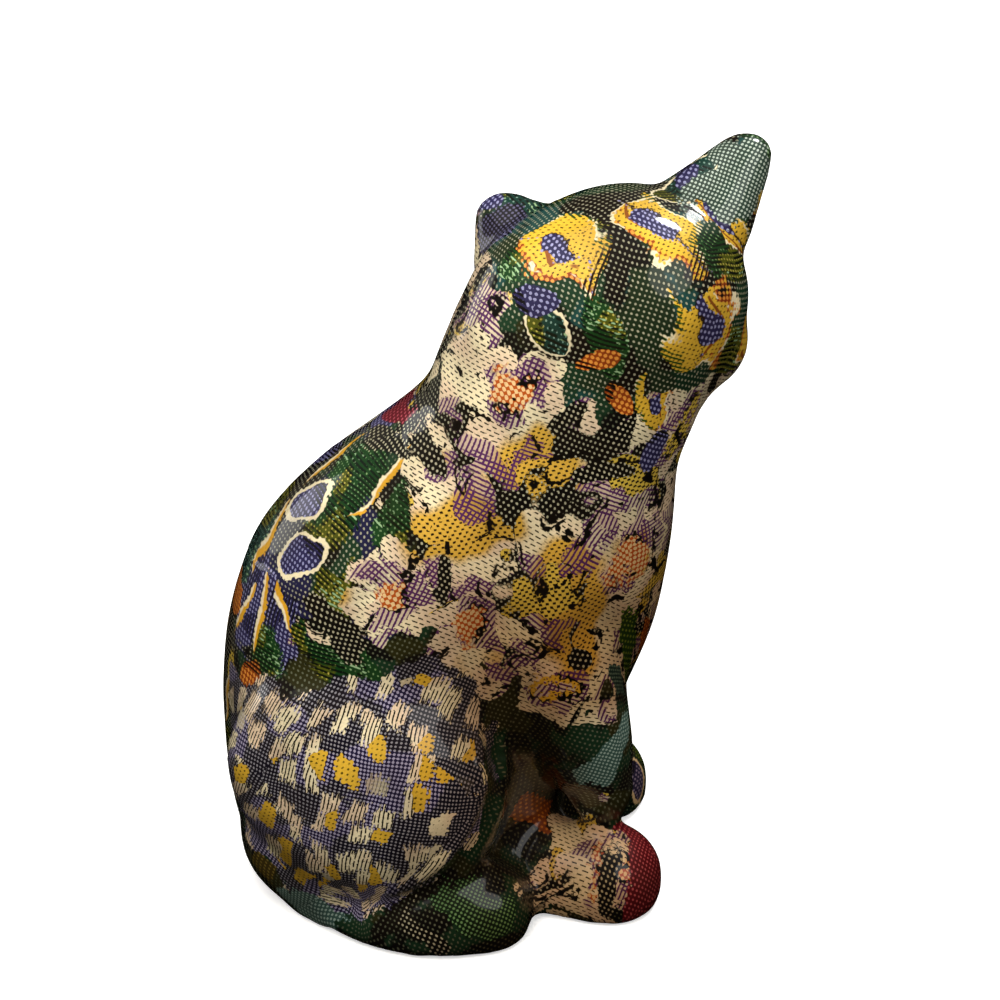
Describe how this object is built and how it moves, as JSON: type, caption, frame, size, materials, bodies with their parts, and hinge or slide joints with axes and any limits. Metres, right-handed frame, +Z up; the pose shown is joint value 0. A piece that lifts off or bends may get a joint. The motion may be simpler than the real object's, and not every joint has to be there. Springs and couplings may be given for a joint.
{
  "type": "decoupage ceramic cat figurine",
  "caption": "Cat ornament that sits upright with its head turned to its left and its tail round its feet, covered in glossy varnished floral paper",
  "frame": {"origin": "centre of the bounding box's bottom face, on the flat underside", "axes": "+Z up, the cat's chest faces -Y, its left side is +X, and its head is turned to +X"},
  "size_m": [0.0958, 0.125, 0.1796],
  "materials": {
    "decoupage": "printed floral paper under a clear high-gloss varnish, over cast ceramic"
  },
  "bodies": {
    "root": {"cat_figurine": "decoupage"}
  },
  "joints": []
}
